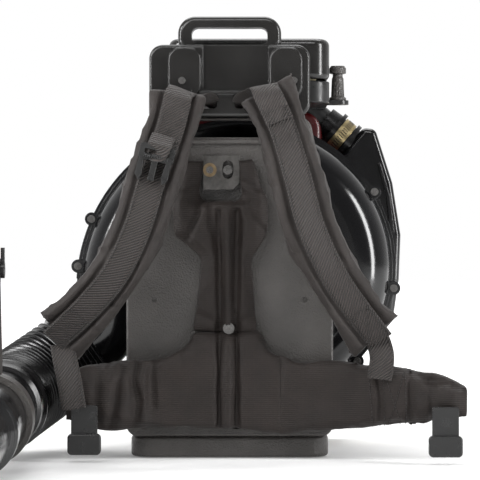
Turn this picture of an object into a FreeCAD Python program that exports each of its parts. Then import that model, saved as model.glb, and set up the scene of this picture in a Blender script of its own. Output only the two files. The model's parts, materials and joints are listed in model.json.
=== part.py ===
import FreeCAD, Part
import math
import os
import re

import Sketcher
from FreeCAD import Placement, Rotation, Vector

# Backpack leaf blower: a two-stroke engine turns a fan in a spiral housing, and a corrugated hose leads the
# air to a hand-held pipe. Millimetres, +Z up, +Y away from the wearer's back, the base standing on Z = 0.

SIZES = (
    # carrying frame
    ("frame_half", 120),
    ("frame_shoulder", 258),
    ("neck_half", 93),
    ("frame_front", -140),
    ("frame_back", -112),
    ("base_half", 115),
    ("base_rear", 152),
    ("base_thick", 24),
    ("yoke_low", 394),
    ("yoke_top", 478),
    ("yoke_front", -150),
    ("yoke_back", -98),
    ("handle_top", 512),
    ("strap_slot_z", 410),
    # fan housing
    ("fan_x", 30),
    ("fan_z", 206),
    ("split_y", -40),
    ("scroll_radius", 160),
    ("scroll_growth", 46),
    ("flange_lip", 8),
    ("shell_deep", 54),
    ("shell_wall", 3),
    ("intake_radius", 62),
    ("duct_x", -142),
    ("duct_end", 194),
    # hose and pipe
    ("elbow_radius", 40),
    ("elbow_bend", 50),
    ("elbow_turn", 55),
    ("elbow_start", 172),
    ("hose_radius", 54),
    ("hose_bend", 120),
    ("pipe_radius", 43),
    ("pipe_tilt", 1.45),
    ("nozzle_end", 1040),
    # engine
    ("crank_radius", 42),
    ("engine_y", 58),
    ("bore_radius", 20),
    ("fin_radius", 35),
    ("starter_y", 152),
    ("starter_radius", 78),
    ("cover_top", 410),
    ("box_front", 22),
    ("box_back", 108),
    # harness
    ("pad_wide", 73),
    ("webbing_wide", 32),
    ("strap_centre_y", 78),
    ("strap_centre_z", 280),
    ("strap_radius", 315),
    ("pad_thick", 20),
    ("back_pad_front", -166),
    ("back_pad_back", -143),
    ("belt_curve", 600),
)

CLEAR = 0.3

doc = FreeCAD.newDocument("LeafBlower")
sheet = doc.addObject("Spreadsheet::Sheet", "Sizes")
for row, (alias, value) in enumerate(SIZES, start=1):
    sheet.set("A%d" % row, alias.replace("_", " "))
    sheet.set("B%d" % row, str(value))
    sheet.setAlias("B%d" % row, alias)
doc.recompute()

ALIASES = [alias for alias, value in SIZES]
WORD = re.compile(r"[a-z_]+")
AXES = {
    "z": Rotation(),
    "y": Rotation(Vector(1, 0, 0), -90),
    "x": Rotation(Vector(0, 1, 0), 90),
    "-y": Rotation(Vector(1, 0, 0), 90),
}
NODES = []


def size(alias):
    """The number in one cell of the sheet."""
    return float(getattr(sheet, alias))


def cells(formula):
    """A formula in sheet words, written the way an expression needs it."""
    return WORD.sub(lambda hit: "Sizes." + hit.group() if hit.group() in ALIASES else hit.group(), str(formula))


def bind(thing, **formulas):
    for name, formula in formulas.items():
        thing.setExpression(name, cells(formula))


def place(thing, at, axis="z"):
    """Stand a thing on a point, with its own Z along an axis."""
    turn = AXES[axis] if isinstance(axis, str) else axis
    thing.Placement = Placement(Vector(), turn)
    for letter, formula in zip("xyz", at):
        thing.setExpression("Placement.Base." + letter, cells(formula))
    return thing


def node(name, thing):
    """Name a finished sub-part; its label is its file's name."""
    thing.Label = name
    NODES.append(thing)
    return thing


# ---- building blocks ----

def cylinder(radius, height, at, axis="z"):
    part = doc.addObject("Part::Cylinder", "Cylinder")
    bind(part, Radius=radius, Height=height)
    return place(part, at, axis)


def box(length, width, height, at):
    part = doc.addObject("Part::Box", "Box")
    bind(part, Length=length, Width=width, Height=height)
    return place(part, at)


def wrap(thing):
    """A holder that gives a placed thing a second placement."""
    holder = doc.addObject("Part::Compound", "Holder")
    holder.Links = [thing]
    return holder


def fuse(*parts):
    joined = doc.addObject("Part::MultiFuse", "Fuse")
    joined.Shapes = list(parts)
    return joined


def cut(base, *tools):
    carved = doc.addObject("Part::Cut", "Cut")
    carved.Base = base
    carved.Tool = tools[0] if len(tools) == 1 else fuse(*tools)
    return carved


def common(first, second):
    shared = doc.addObject("Part::MultiCommon", "Common")
    shared.Shapes = [first, second]
    return shared


def feature(shape):
    """A piece whose shape is worked out in code from the sheet's sizes."""
    part = doc.addObject("Part::Feature", "Feature")
    part.Shape = shape
    return part


def group(shapes):
    return feature(Part.makeCompound(shapes))


def sketch_outline(body, plane, outline, offset):
    """A closed outline of straight sides on one of the body's own planes."""
    sketch = body.newObject("Sketcher::SketchObject", "Outline")
    origin_plane = [part for part in body.Origin.OriginFeatures if part.Role == plane][0]
    sketch.AttachmentSupport = [(origin_plane, "")]
    sketch.MapMode = "FlatFace"
    sketch.setExpression("AttachmentOffset.Base.z", cells(offset))
    corners = [(value_of(x), value_of(y)) for x, y in outline]
    count = len(outline)
    for index in range(count):
        start = Vector(*corners[index], 0)
        end = Vector(*corners[(index + 1) % count], 0)
        sketch.addGeometry(Part.LineSegment(start, end))
    for index in range(count):
        sketch.addConstraint(Sketcher.Constraint("Coincident", index, 2, (index + 1) % count, 1))
        for kind, formula, value in zip(("DistanceX", "DistanceY"), outline[index], corners[index]):
            number = sketch.addConstraint(Sketcher.Constraint(kind, -1, 1, index, 1, value))
            sketch.setExpression("Constraints[%d]" % number, cells(formula))
    return sketch


def value_of(formula):
    """A formula's number now, asked of the document itself."""
    return float(doc.Sizes.evalExpression(cells(formula)))


def slab(plane, outline, low, high, corner=0, rim=0):
    """An outline padded between two levels, with rounded corners and a rounded rim on both faces."""
    body = doc.addObject("PartDesign::Body", "Body")
    normal = {"XZ_Plane": Vector(0, 1, 0), "XY_Plane": Vector(0, 0, 1), "YZ_Plane": Vector(1, 0, 0)}[plane]
    start = "-(%s)" % high if plane == "XZ_Plane" else low
    sketch = sketch_outline(body, plane, outline, start)
    pad = body.newObject("PartDesign::Pad", "Pad")
    pad.Profile = sketch
    pad.setExpression("Length", cells("(%s) - (%s)" % (high, low)))
    doc.recompute()
    if corner:
        round_edges(body, corner, lambda edge: along(edge, normal))
    if rim:
        round_edges(body, rim, lambda edge: across(edge, normal))
    return body


def along(edge, normal):
    return isinstance(edge.Curve, Part.Line) and abs(abs(edge.Curve.Direction * normal) - 1) < 1e-6


def across(edge, normal):
    levels = [vertex.Point * normal for vertex in edge.Vertexes]
    return max(levels) - min(levels) < 1e-6 and not along(edge, normal)


def round_edges(body, radius, chosen):
    tip = body.Tip
    names = ["Edge%d" % (index + 1) for index, edge in enumerate(tip.Shape.Edges) if chosen(edge)]
    fillet = body.newObject("PartDesign::Fillet", "Fillet")
    fillet.Base = (tip, names)
    bind(fillet, Radius=radius)
    doc.recompute()


def turned(profile, at, axis="z"):
    """A round piece: (radius, height) corners turned about its own Z."""
    body = doc.addObject("PartDesign::Body", "Body")
    sketch = sketch_outline(body, "XZ_Plane", profile, 0)
    turn = body.newObject("PartDesign::Revolution", "Revolution")
    turn.Profile = sketch
    turn.ReferenceAxis = (sketch, ["V_Axis"])
    turn.Angle = 360
    return place(body, at, axis)


def rectangle(x_low, x_high, y_low, y_high):
    return [(x_low, y_low), (x_high, y_low), (x_high, y_high), (x_low, y_high)]


# ---- carrying frame ----

def base_foot():
    return slab("XY_Plane", rectangle("-base_half", "base_half", "frame_front", "base_rear"),
                0, "base_thick", corner=26, rim=4)


def back_plate():
    outline = [("-frame_half", "base_thick"), ("frame_half", "base_thick"), ("frame_half", "frame_shoulder"),
               ("neck_half", "yoke_low"), ("-neck_half", "yoke_low"), ("-frame_half", "frame_shoulder")]
    plate = slab("XZ_Plane", outline, "frame_front", "frame_back", corner=14, rim=3)
    hollow = slab("XZ_Plane", [("-frame_half + 9", "base_thick + 9"), ("frame_half - 9", "base_thick + 9"),
                               ("frame_half - 9", "frame_shoulder"), ("neck_half - 9", 356),
                               ("-neck_half + 9", 356), ("-frame_half + 9", "frame_shoulder")],
                  "frame_front + 7", "frame_back + 1", corner=10)
    opening = slab("XZ_Plane", rectangle(-62, 62, 371, 391), "frame_front - 1", "frame_back + 1", corner=5)
    crossbar = slab("XZ_Plane", rectangle(-64, 64, 363, 369), "frame_front - 5", "frame_front + 4", rim=2)
    dimples = [cylinder(3, 3, (side * 87, "frame_front - 1", 183), "y") for side in (-1, 1)]
    return fuse(cut(plate, hollow, opening, *dimples), crossbar)


def yoke():
    outline = rectangle("-neck_half", "neck_half", "yoke_low + 0.2", "yoke_top")
    block = slab("XZ_Plane", outline, "yoke_front", "yoke_back", corner=16, rim=4)
    recess = slab("XZ_Plane", rectangle(-31, 45, 425, "yoke_top + 20"), "yoke_front - 1", "yoke_front + 9",
                  corner=7)
    lip = slab("XZ_Plane", rectangle(-38, 50, 419, 424), "yoke_front - 4", "yoke_front + 2", rim=1.5)
    lobes = [slab("XZ_Plane", rectangle(middle - 19, middle + 19, 415, "yoke_top - 3"),
                  "yoke_front - 6", "yoke_front + 2", corner=15, rim=2.5) for middle in (-52, 65)]
    slots = [slab("XZ_Plane", rectangle(middle - 14, middle + 14, "strap_slot_z - 6", "strap_slot_z + 6"),
                  "yoke_front - 1", "yoke_back + 1", corner=4) for middle in (-29, 20)]
    hollow = slab("XZ_Plane", rectangle("-neck_half + 6", "neck_half - 6", 430, "yoke_top - 6"),
                  "yoke_front + 14", "yoke_back + 1", corner=10)
    arch = slab("XZ_Plane", rectangle(-60, 60, "yoke_top - 12", "handle_top"), -136, -112, corner=20, rim=6)
    grip_gap = slab("XZ_Plane", rectangle(-44, 44, "yoke_top + 1", "handle_top - 13"), -140, -108, corner=8)
    return fuse(cut(block, recess, hollow, *slots), lip, *lobes, cut(arch, grip_gap))


def hanger_plate():
    outline = [(-31, 350), (12, 350), (12, 318), (4, 310), (-31, 310)]
    plate = slab("XZ_Plane", outline, -149, -146, rim=0.6)
    hole = cylinder(5.2, 10, (-23, -152, 333), "y")
    slot = slab("XZ_Plane", rectangle(-8, 4, 323, 344), -152, -144, corner=5.9)
    spacers = [cylinder(4, 6, (x, "frame_front", 333), "-y") for x in (-23, -2)]
    return fuse(cut(plate, hole, slot), *spacers)


def grommet():
    profile = [(3.1, 0), (8, 0), (8, 1.4), (5.1, 1.4), (5.1, 4), (3.1, 4)]
    return turned(profile, (-23, -150.6, 333), "y")


def screw(point, radius, direction, length):
    """A pan-head screw: a domed head with a cross recess, and its shank."""
    head = Part.makeCylinder(radius, radius * 0.7, point, direction)
    head = head.makeFillet(radius * 0.4, [head.Edges[0]])
    shank = Part.makeCylinder(radius * 0.5, length, point, direction)
    spin = Rotation(Vector(0, 0, 1), direction)
    for wide, tall in ((radius * 1.1, radius * 0.28), (radius * 0.28, radius * 1.1)):
        recess = Part.makeBox(wide, tall, radius * 0.5, Vector(-wide / 2, -tall / 2, -0.01))
        recess.Placement = Placement(point, spin).multiply(recess.Placement)
        head = head.cut(recess)
    return head.fuse(shank)


def frame_screws():
    inward = Vector(0, 1, 0)
    lobe_front = size("yoke_front") - 6
    pad_front = size("back_pad_front")
    shapes = [screw(Vector(x, lobe_front - 2.5, 436), 4.2, inward, 9) for x in (-55, 74)]
    shapes.append(screw(Vector(-23, -153.7, 333), 4.2, inward, 9))
    shapes.append(screw(Vector(-2, -154, 333), 5.4, inward, 10))
    washer = Part.makeCylinder(6.5, 1.4, Vector(-1, pad_front - 2.6, 150.5), inward)
    shapes.append(washer.fuse(screw(Vector(-1, pad_front - 5.4, 150.5), 4.2, inward, 10)))
    return group(shapes)


# ---- harness: plain solids of the right size and place ----

def strap_face(points, width):
    """A ribbon of even width about a smooth centre line in the frontal plane."""
    line = Part.BSplineCurve()
    line.interpolate([Vector(x, 0, z) for x, z in points])
    sides = ([], [])
    count = 9
    for index in range(count):
        spot = line.FirstParameter + (line.LastParameter - line.FirstParameter) * index / (count - 1)
        heading = line.tangent(spot)[0]
        across_line = Vector(heading.z, 0, -heading.x).normalize().multiply(width / 2)
        sides[0].append(line.value(spot) + across_line)
        sides[1].append(line.value(spot) - across_line)
    edges = []
    for side in sides:
        curve = Part.BSplineCurve()
        curve.interpolate(side)
        edges.append(curve.toShape())
    edges.append(Part.makeLine(sides[0][0], sides[1][0]))
    edges.append(Part.makeLine(sides[0][-1], sides[1][-1]))
    return Part.Face(Part.Wire(Part.__sortEdges__(edges)))


def strap_band(outer, inner):
    """The curved layer, seen from the side, that a shoulder strap follows."""
    middle = Vector(-300, size("strap_centre_y"), size("strap_centre_z"))
    rings = [Part.makeCylinder(radius, 600, middle, Vector(1, 0, 0)) for radius in (outer, inner)]
    front_half = Part.makeBox(600, 300, 600, Vector(-300, size("strap_centre_y") - 400, 0))
    return rings[0].cut(rings[1]).common(front_half)


def strap_layer(points, width, outer, inner):
    prism = strap_face(points, width).extrude(Vector(0, -300, 0))
    return feature(prism.common(strap_band(outer, inner)))


LEFT_LINE = ((-56, 424), (-65, 376), (-80, 322), (-100, 266), (-126, 216), (-158, 178), (-202, 140))
RIGHT_LINE = ((38, 428), (61, 376), (76, 325), (91, 266), (119, 204), (160, 150))


def shoulder_pad(line):
    outer = size("strap_radius")
    return strap_layer(line, size("pad_wide"), outer, outer - size("pad_thick"))


def webbing(line):
    inner = size("strap_radius") + CLEAR
    return strap_layer(line, size("webbing_wide"), inner + 2, inner)


def back_pad():
    outline = [(-43, 149), (37, 149), (37, 226), (52, 258), (52, 302), (38, 350), (15, 350), (15, 307),
               (-34, 307), (-34, 350), (-60, 350), (-74, 302), (-74, 258), (-43, 226)]
    return slab("XZ_Plane", outline, "back_pad_front", "back_pad_back", rim=5)


def hip_belt():
    outline = [(-43, 148), (-56, 136), (-80, 126), (-122, 120), (-176, 108), (-193, 92), (-190, 40), (-150, 26),
               (150, 26), (225, 34), (270, 48), (274, 84), (240, 104), (188, 115), (128, 124), (90, 122),
               (64, 127), (48, 136), (37, 148)]
    front = slab("XZ_Plane", outline, -300, -120)
    outer = size("belt_curve")
    middle = Vector(0, size("back_pad_back") - outer, 0)
    band = Part.makeCylinder(outer, 200, middle).cut(Part.makeCylinder(outer - 24, 200, middle))
    return common(front, feature(band))


def buckle():
    """Male half of a side-release buckle: a ladder bar above, a middle guide and two sprung prongs."""
    front = "-strap_radius + strap_centre_y - 15"
    back = "-strap_radius + strap_centre_y - 1.6"
    frame = slab("XZ_Plane", rectangle(-20, 20, 4, 22), front, back, corner=4)
    slot = slab("XZ_Plane", rectangle(-14, 14, 11, 16), "-300", "0")
    guide = slab("XZ_Plane", rectangle(-3.5, 3.5, -18, 6), front, back)
    prongs = []
    for side in (-1, 1):
        arm = [(side * 13, 6), (side * 18, 6), (side * 19, -14), (side * 14, -20), (side * 11, -14)]
        prongs.append(slab("XZ_Plane", arm, front, back))
    male = fuse(cut(frame, slot), guide, *prongs)
    return place(male, (-84, 0, 336), Rotation(Vector(0, 1, 0), 14))


def adjuster_tails():
    left = [(-202, 116), (-170, 124), (-162, 66), (-190, 58)]
    right = [(152, 126), (184, 118), (180, 92), (150, 96)]
    return fuse(slab("XZ_Plane", left, -206, -203.5), slab("XZ_Plane", right, -206, -203.5))


def belt_buckles():
    """The belt's webbing ends with their buckle halves, hanging in front of the wings."""
    pieces = []
    for low, high, front in ((-180, -150, -200.5), (228, 258, -232)):
        pieces.append(slab("XZ_Plane", rectangle(low, high, 30, 64), front, front + 3, corner=2))
        pieces.append(slab("XZ_Plane", rectangle(low - 4, high + 4, 8, 32), front - 6, front + 6, corner=5,
                           rim=2))
    return group_of(fuse(*pieces[:2]), fuse(*pieces[2:]))


def group_of(*things):
    """Several separate solids that share one node."""
    gathered = doc.addObject("Part::Compound", "Compound")
    gathered.Links = list(things)
    return gathered


# ---- fan housing ----

def scroll_edge(turn, offset):
    """A point of the spiral; the angle is in degrees, counter-clockwise from +X seen from the front."""
    radius = size("scroll_radius") + size("scroll_growth") * turn / 180 + offset
    angle = math.radians(turn)
    return Vector(size("fan_x") + radius * math.cos(angle), 0, size("fan_z") + radius * math.sin(angle))


def spiral_face(offset):
    """One full turn of the spiral, closed by a radial line where the outlet duct starts."""
    curve = Part.BSplineCurve()
    curve.interpolate([scroll_edge(turn, offset) for turn in range(-180, 181, 10)])
    closing = Part.makeLine(scroll_edge(180, offset), scroll_edge(-180, offset))
    return Part.Face(Part.Wire([curve.toShape(), closing]))


def duct_face(offset):
    """The outlet duct's outline, from the spiral's wide end down to the collar."""
    left = scroll_edge(180, offset).x + STEP
    right = scroll_edge(-180, 0).x - TONGUE
    top = size("fan_z") + 3
    floor = size("duct_end")
    corners = [Vector(left, 0, floor), Vector(right, 0, floor), Vector(right, 0, top), Vector(left, 0, top)]
    return Part.Face(Part.makePolygon(corners + corners[:1]))


def dome(offset, deep, rounding):
    """The housing half as a solid, from the split plane forwards, with a bulging outer edge."""
    spiral = spiral_face(offset).extrude(Vector(0, -deep, 0))
    duct = duct_face(offset).extrude(Vector(0, STEP - deep, 0))
    rim = [edge for edge in spiral.Edges if edge.Length > 500 and edge.BoundBox.YMax < -deep + 1]
    left = scroll_edge(180, offset).x
    corner = [edge for edge in duct.Edges if edge.BoundBox.YMax < -deep + 2 and edge.BoundBox.XMax < left + 2]
    return spiral.makeFillet(rounding, rim).fuse(duct.makeFillet(rounding, corner))


BOSS_TURNS = (-125, -80, -39, -4, 36, 75, 115, 160, 176)
BOSS_RADIUS = 8
BOSS_DEEP = 14
BOSS_ARM = 15
TONGUE = 4
STEP = 0.8


def housing_half():
    wall = size("shell_wall")
    deep = size("shell_deep")
    lip = size("flange_lip")
    rounding = deep - 12
    outside = dome(0, deep, rounding)
    inside = dome(-wall, deep - wall, rounding - wall)
    mouth = duct_face(-wall).extrude(Vector(0, wall - deep, 0))
    mouth.translate(Vector(0, 0, -wall))
    rims = [face.extrude(Vector(0, -5, 0)) for face in (spiral_face(lip), duct_face(lip))]
    bead = spiral_face(lip / 2).extrude(Vector(0, -9, 0))
    bosses = [piece for turn in BOSS_TURNS for piece in boss(turn)]
    return outside.fuse(rims + [bead] + bosses).cut([inside, mouth])


def boss(turn):
    """A screw ear on the flange, with an arm that ties it back to the shell."""
    spot = scroll_edge(turn, size("flange_lip") - 1)
    ear = Part.makeCylinder(BOSS_RADIUS, BOSS_DEEP, spot, Vector(0, -1, 0))
    arm = Part.makeBox(BOSS_ARM, BOSS_DEEP, 2 * BOSS_RADIUS - 1, Vector(-BOSS_ARM, -BOSS_DEEP, 0.5 - BOSS_RADIUS))
    arm.rotate(Vector(), Vector(0, 1, 0), -turn)
    arm.translate(spot)
    return ear, arm


def volute_front():
    shell = housing_half()
    centre = Vector(size("fan_x"), -200, size("fan_z"))
    shell = shell.cut(Part.makeCylinder(size("intake_radius"), 200, centre, Vector(0, 1, 0)))
    foot = Part.makeBox(150, 16, 40, Vector(size("fan_x") - 75, -22, 58))
    shell = shell.fuse(foot.cut(dome(-1, size("shell_deep"), size("shell_deep") - 12)))
    for turn in BOSS_TURNS:
        spot = scroll_edge(turn, size("flange_lip") - 1)
        hole = Part.makeCylinder(2.6, 40, spot + Vector(0, -30, 0), Vector(0, 1, 0))
        seat = Part.makeCylinder(5.4, 20, spot + Vector(0, -20 - BOSS_DEEP, 0), Vector(0, 1, 0))
        shell = shell.cut([hole, seat])
    shell.translate(Vector(0, size("split_y"), 0))
    return feature(shell)


def volute_rear():
    shell = housing_half()
    shaft_hole = Part.makeCylinder(17, 200, Vector(size("fan_x"), -150, size("fan_z")), Vector(0, 1, 0))
    shell = shell.cut(shaft_hole)
    shell = shell.mirror(Vector(), Vector(0, 1, 0))
    shell.translate(Vector(0, size("split_y") + 0.1, 0))
    return feature(shell)


def volute_screws():
    inward = Vector(0, 1, 0)
    front = size("split_y") - BOSS_DEEP
    shapes = []
    for turn in BOSS_TURNS:
        spot = scroll_edge(turn, size("flange_lip") - 1)
        shapes.append(screw(Vector(spot.x, front - 3.2, spot.z), 4.6, inward, 16))
    return group(shapes)


def intake_grille():
    centre = ("fan_x", "split_y - shell_deep - 5", "fan_z")
    rings = [cut(cylinder("intake_radius + %d" % outer, 4, centre, "y"),
                 cylinder("intake_radius + %d" % (outer - 4), 6, (centre[0], centre[1] + " - 1", centre[2]), "y"))
             for outer in (8, -8, -24, -40)]
    spokes = []
    for turn in range(0, 180, 30):
        bar = box("2 * intake_radius + 10", 3, 3, ("-intake_radius - 5", 0, -1.5))
        bar_ring = place(wrap(bar), centre, Rotation(Vector(0, 1, 0), turn))
        spokes.append(bar_ring)
    return fuse(*rings, *spokes)


def outlet_collar():
    plate = slab("XY_Plane", rectangle(-180, -93, "split_y - 54", "split_y + 54"), "duct_end - 4.2",
                 "duct_end - 0.2", corner=10)
    centre = ("duct_x", "split_y")
    ring = cylinder("elbow_radius - 3.6", 20, (*centre, "duct_end - 24"))
    hole = cylinder("elbow_radius - 6.6", 40, (*centre, "duct_end - 30"))
    return cut(fuse(plate, ring), hole)


def av_mounts():
    profile = [(0, 0), (16, 0), (16, 5), (10, 10), (10, 24), (16, 29), (16, 34), (0, 34)]
    lower = [turned(profile, (x, "split_y - 14", "base_thick")) for x in (-30, 90)]
    upper = [cylinder(13, "split_y - shell_deep - frame_front - 7.2", (x, "frame_front + 7", 292), "y")
             for x in (-30, 60)]
    return group_of(*lower, *upper)


# ---- rotating group ----

def impeller():
    hub = Part.makeCylinder(20, 46, Vector(0, 0, 0))
    disc = Part.makeCylinder(100, 3, Vector(0, 0, 0))
    shape = hub.fuse(disc)
    blades = 12
    for index in range(blades):
        blade = Part.makeBox(58, 2.6, 40, Vector(0, -1.3, 0))
        blade.rotate(Vector(), Vector(0, 0, 1), -38)
        blade.translate(Vector(46, 14, 2))
        blade.rotate(Vector(), Vector(0, 0, 1), 360 * index / blades)
        shape = shape.fuse(blade)
    shape = shape.cut(Part.makeCylinder(7, 60, Vector(0, 0, -5)))
    shape = shape.common(Part.makeCylinder(102, 60, Vector(0, 0, -5)))
    part = feature(shape)
    return place(part, ("fan_x", "split_y + 34", "fan_z"), "-y")


def crankshaft():
    profile = [(0, -58), (7, -58), (7, 0), (8, 0), (8, 41), (30, 41), (30, 51), (9, 51), (9, 57), (30, 57),
               (30, 67), (8, 67), (8, 118), (0, 118)]
    return turned(profile, ("fan_x", 0, "fan_z"), "y")


def flywheel():
    profile = [(8.05, 96), (52, 96), (56, 100), (56, 106), (16, 106), (16, 114), (8.05, 114)]
    disc = turned(profile, (0, 0, 0), "z")
    fins = []
    for turn in range(0, 360, 30):
        fin = box(24, 2, 8, (28, -1, 106))
        fins.append(place(wrap(fin), (0, 0, 0), Rotation(Vector(0, 0, 1), turn)))
    return place(fuse(disc, *fins), ("fan_x", 0, "fan_z"), "y")


# ---- engine ----

def crankcase():
    outside = cylinder("crank_radius", 68, ("fan_x", 25, "fan_z"), "y")
    seat = box(60, 60, 20, ("fan_x - 30", "engine_y - 30", "fan_z + 30"))
    flange = cylinder(52, 8, ("fan_x", 17, "fan_z"), "y")
    chamber = cylinder(34, 44, ("fan_x", 36, "fan_z"), "y")
    bore = cylinder(16, 100, ("fan_x", 16, "fan_z"), "y")
    throat = cylinder("bore_radius", 60, ("fan_x", "engine_y", "fan_z + 10"))
    return cut(fuse(outside, seat, flange), chamber, bore, throat)


def main_bearings():
    profile = [(8.06, 0), (15.98, 0), (15.98, 9), (8.06, 9)]
    return group_of(*[turned(profile, ("fan_x", y, "fan_z"), "y") for y in (26, 82)])


def cylinder_head():
    fin_count = 10
    core = cylinder(27, 84, ("fan_x", "engine_y", "fan_z + 50.1"))
    fins = [cylinder("fin_radius", 2.2, ("fan_x", "engine_y", "fan_z + %d" % (62 + 7 * index)))
            for index in range(fin_count)]
    bore = cylinder("bore_radius", 66, ("fan_x", "engine_y", "fan_z + 50"))
    plug_hole = cylinder(5.1, 40, ("fan_x", "engine_y", "fan_z + 110"))
    exhaust = box(14, 26, 22, ("fan_x - 46", "engine_y - 13", "fan_z + 60"))
    intake = box(18, 26, 22, ("fan_x + 28", "engine_y - 13", "fan_z + 60"))
    return cut(fuse(core, exhaust, intake, *fins), bore, plug_hole)


def piston():
    return cylinder("bore_radius - 0.06", 28, ("fan_x", "engine_y", "fan_z + 76"))


def spark_plug():
    profile = [(0, -14), (5, -14), (5, 0), (9, 0), (9, 9), (6, 12), (6, 22), (3, 24), (3, 32), (0, 32)]
    return turned(profile, ("fan_x", "engine_y", "fan_z + 134.2"))


def ignition_coil():
    core = box(12, 12, 30, ("fan_x - 72", 98, "fan_z - 15"))
    lug = box(6, 12, 12, ("fan_x - 63", 98, "fan_z - 6"))
    return fuse(core, lug)


def muffler():
    outline = rectangle(-76, "fan_x - 46.2", 236, 280)
    return slab("XZ_Plane", outline, "engine_y - 26", "engine_y + 26", corner=9, rim=3)


def muffler_guard():
    outside = slab("XZ_Plane", rectangle(-86, "fan_x - 50", 229, 287), "engine_y - 33", "engine_y + 33",
                   corner=10, rim=3)
    inside = box(80, 56, 48, (-80, "engine_y - 28", 234))
    slots = [box(10, 48, 3, (-88, "engine_y - 24", 242 + 8 * index)) for index in range(5)]
    return cut(outside, inside, *slots)


def carburettor():
    bowl = box(34, 34, 40, (78, "engine_y - 17", 256))
    throat = cylinder(15, 12, (112, "engine_y", 278), "x")
    return fuse(bowl, throat)


def throttle_lever():
    disc = cylinder(7, 3, (96, "engine_y - 20.5", 276), "y")
    arm = box(5, 3, 22, (93.5, "engine_y - 20.5", 276))
    return fuse(disc, arm)


def engine_cover():
    outside = slab("XZ_Plane", rectangle(-58, 112, 292, "cover_top"), 15, 164, corner=22, rim=8)
    inside = slab("XZ_Plane", rectangle(-55, 109, 280, "cover_top - 3"), 18, 161, corner=19)
    slots = [box(60, 10, 4, (0, 156, 320 + 12 * index)) for index in range(5)]
    sleeve_notch = along_elbow(cylinder(27.5, 100, (0, 0, -60)))
    return cut(outside, inside, sleeve_notch, *slots)


def starter_housing():
    profile = [("starter_radius - 3", 94), ("starter_radius", 94), ("starter_radius", 144),
               ("starter_radius - 8", "starter_y"), (0, "starter_y"), (0, 121), (7.9, 121), (7.9, 149),
               ("starter_radius - 9", 149), ("starter_radius - 3", 143)]
    cup = turned(profile, (0, 0, 0))
    vents = []
    for turn in range(0, 360, 30):
        vent = box(26, 7, 12, (40, -3.5, "starter_y - 8"))
        vents.append(place(wrap(vent), (0, 0, 0), Rotation(Vector(0, 0, 1), turn)))
    rope_hole = cylinder(5, 60, (40, -30, 129), "x")
    return place(cut(cup, rope_hole, *vents), ("fan_x", 0, "fan_z"), "y")


def starter_pulley():
    profile = [(8, 123), (35, 123), (35, 125), (27.6, 126.5), (27.6, 131.5), (35, 133), (35, 135), (8, 135)]
    return turned(profile, ("fan_x", 0, "fan_z"), "y")


def starter_handle():
    grip = cylinder(9, 76, ("fan_x + starter_radius + 14", 129, "fan_z + 30 - 38"))
    stem_profile = [(2.6, 0), (6, 0), (9, 14), (2.6, 14)]
    stem = turned(stem_profile, ("fan_x + starter_radius + 1", 129, "fan_z + 30"), "x")
    return cut(fuse(grip, stem), cylinder(2.6, 30, ("fan_x + starter_radius", 129, "fan_z + 30"), "x"))


def starter_rope():
    return cylinder(2, "starter_radius + 8", ("fan_x + 4", 129, "fan_z + 30"), "x")


def fuel_tank():
    outline = rectangle(-96, 150, "base_thick + 1", 112)
    tank = slab("XZ_Plane", outline, 26, 148, corner=18, rim=6)
    hollow = slab("XZ_Plane", rectangle(-93, 147, "base_thick + 4", 109), 29, 145, corner=15)
    neck = cylinder(20, 10, (118, 122, 108))
    mouth = cylinder(16, 20, (118, 122, 100))
    return cut(fuse(tank, neck), hollow, mouth)


def fuel_cap():
    profile = [(0, 0), (15.5, 0), (15.5, 6), (24, 6), (24, 20), (20, 23), (0, 23)]
    cap = turned(profile, (0, 0, 0))
    grips = []
    for turn in range(0, 360, 20):
        notch = cylinder(1.6, 30, (24.6, 0, 4))
        grips.append(place(wrap(notch), (0, 0, 0), Rotation(Vector(0, 0, 1), turn)))
    return place(cut(cap, *grips), (118, 122, 112.3))


# ---- air intake ----

def air_cleaner_body():
    tray = slab("XY_Plane", rectangle(-72, 118, -92, 66), 414, 440, corner=22, rim=2)
    clean_side = slab("XY_Plane", rectangle(-52, 96, -76, 50), 418, 441, corner=14)
    spigot = along_elbow(cylinder(16.7, 46, (0, 0, -52)))
    bore = along_elbow(cylinder(13.5, 80, (0, 0, -82)))
    ear = slab("XY_Plane", rectangle(104, 142, -58, -32), 414, 419, corner=12)
    return cut(fuse(tray, spigot, ear), clean_side, bore)


def air_cleaner_cover():
    lid = slab("XY_Plane", rectangle(-72, 118, -92, 66), 440.3, 490, corner=22, rim=8)
    hollow = slab("XY_Plane", rectangle(-69, 115, -89, 63), 430, 487, corner=19)
    return cut(lid, hollow)


def filter_element():
    pleats = [box(160, 3.2, 30, (-58, -82 + 8 * index, 444)) for index in range(18)]
    return fuse(box(160, 139.2, 4, (-58, -82, 441)), *pleats)


def air_cleaner_knob():
    profile = [(0, 0), (10, 0), (10, 3), (8, 4), (7, 26), (6, 28), (6, 31), (10, 32), (10, 38), (8, 41), (0, 41)]
    knob = turned(profile, (0, 0, 0))
    grips = []
    for turn in range(0, 360, 30):
        notch = cylinder(1.4, 22, (8.6, 0, 4.5))
        grips.append(place(wrap(notch), (0, 0, 0), Rotation(Vector(0, 0, 1), turn)))
    return place(cut(knob, *grips), (129, -45, 419.3))


HOSE_LEAN = Rotation(Vector(0, 1, 0), 130)
ELBOW_MIDDLE = (136, 45, 379)


def along_elbow(thing):
    """Move a piece drawn about the Z axis onto the rubber elbow's own line."""
    return place(wrap(thing), ELBOW_MIDDLE, HOSE_LEAN)


def intake_elbow():
    """Rubber sleeve between the air cleaner and the side box, with two raised collars for the clamp."""
    profile = [(17, -29), (21, -29), (22, -14), (26, -14), (26, -9), (21, -9), (21, 8), (26, 8), (26, 13),
               (21, 13), (21, 26), (17, 26)]
    return turned(profile, ELBOW_MIDDLE, HOSE_LEAN)


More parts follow.
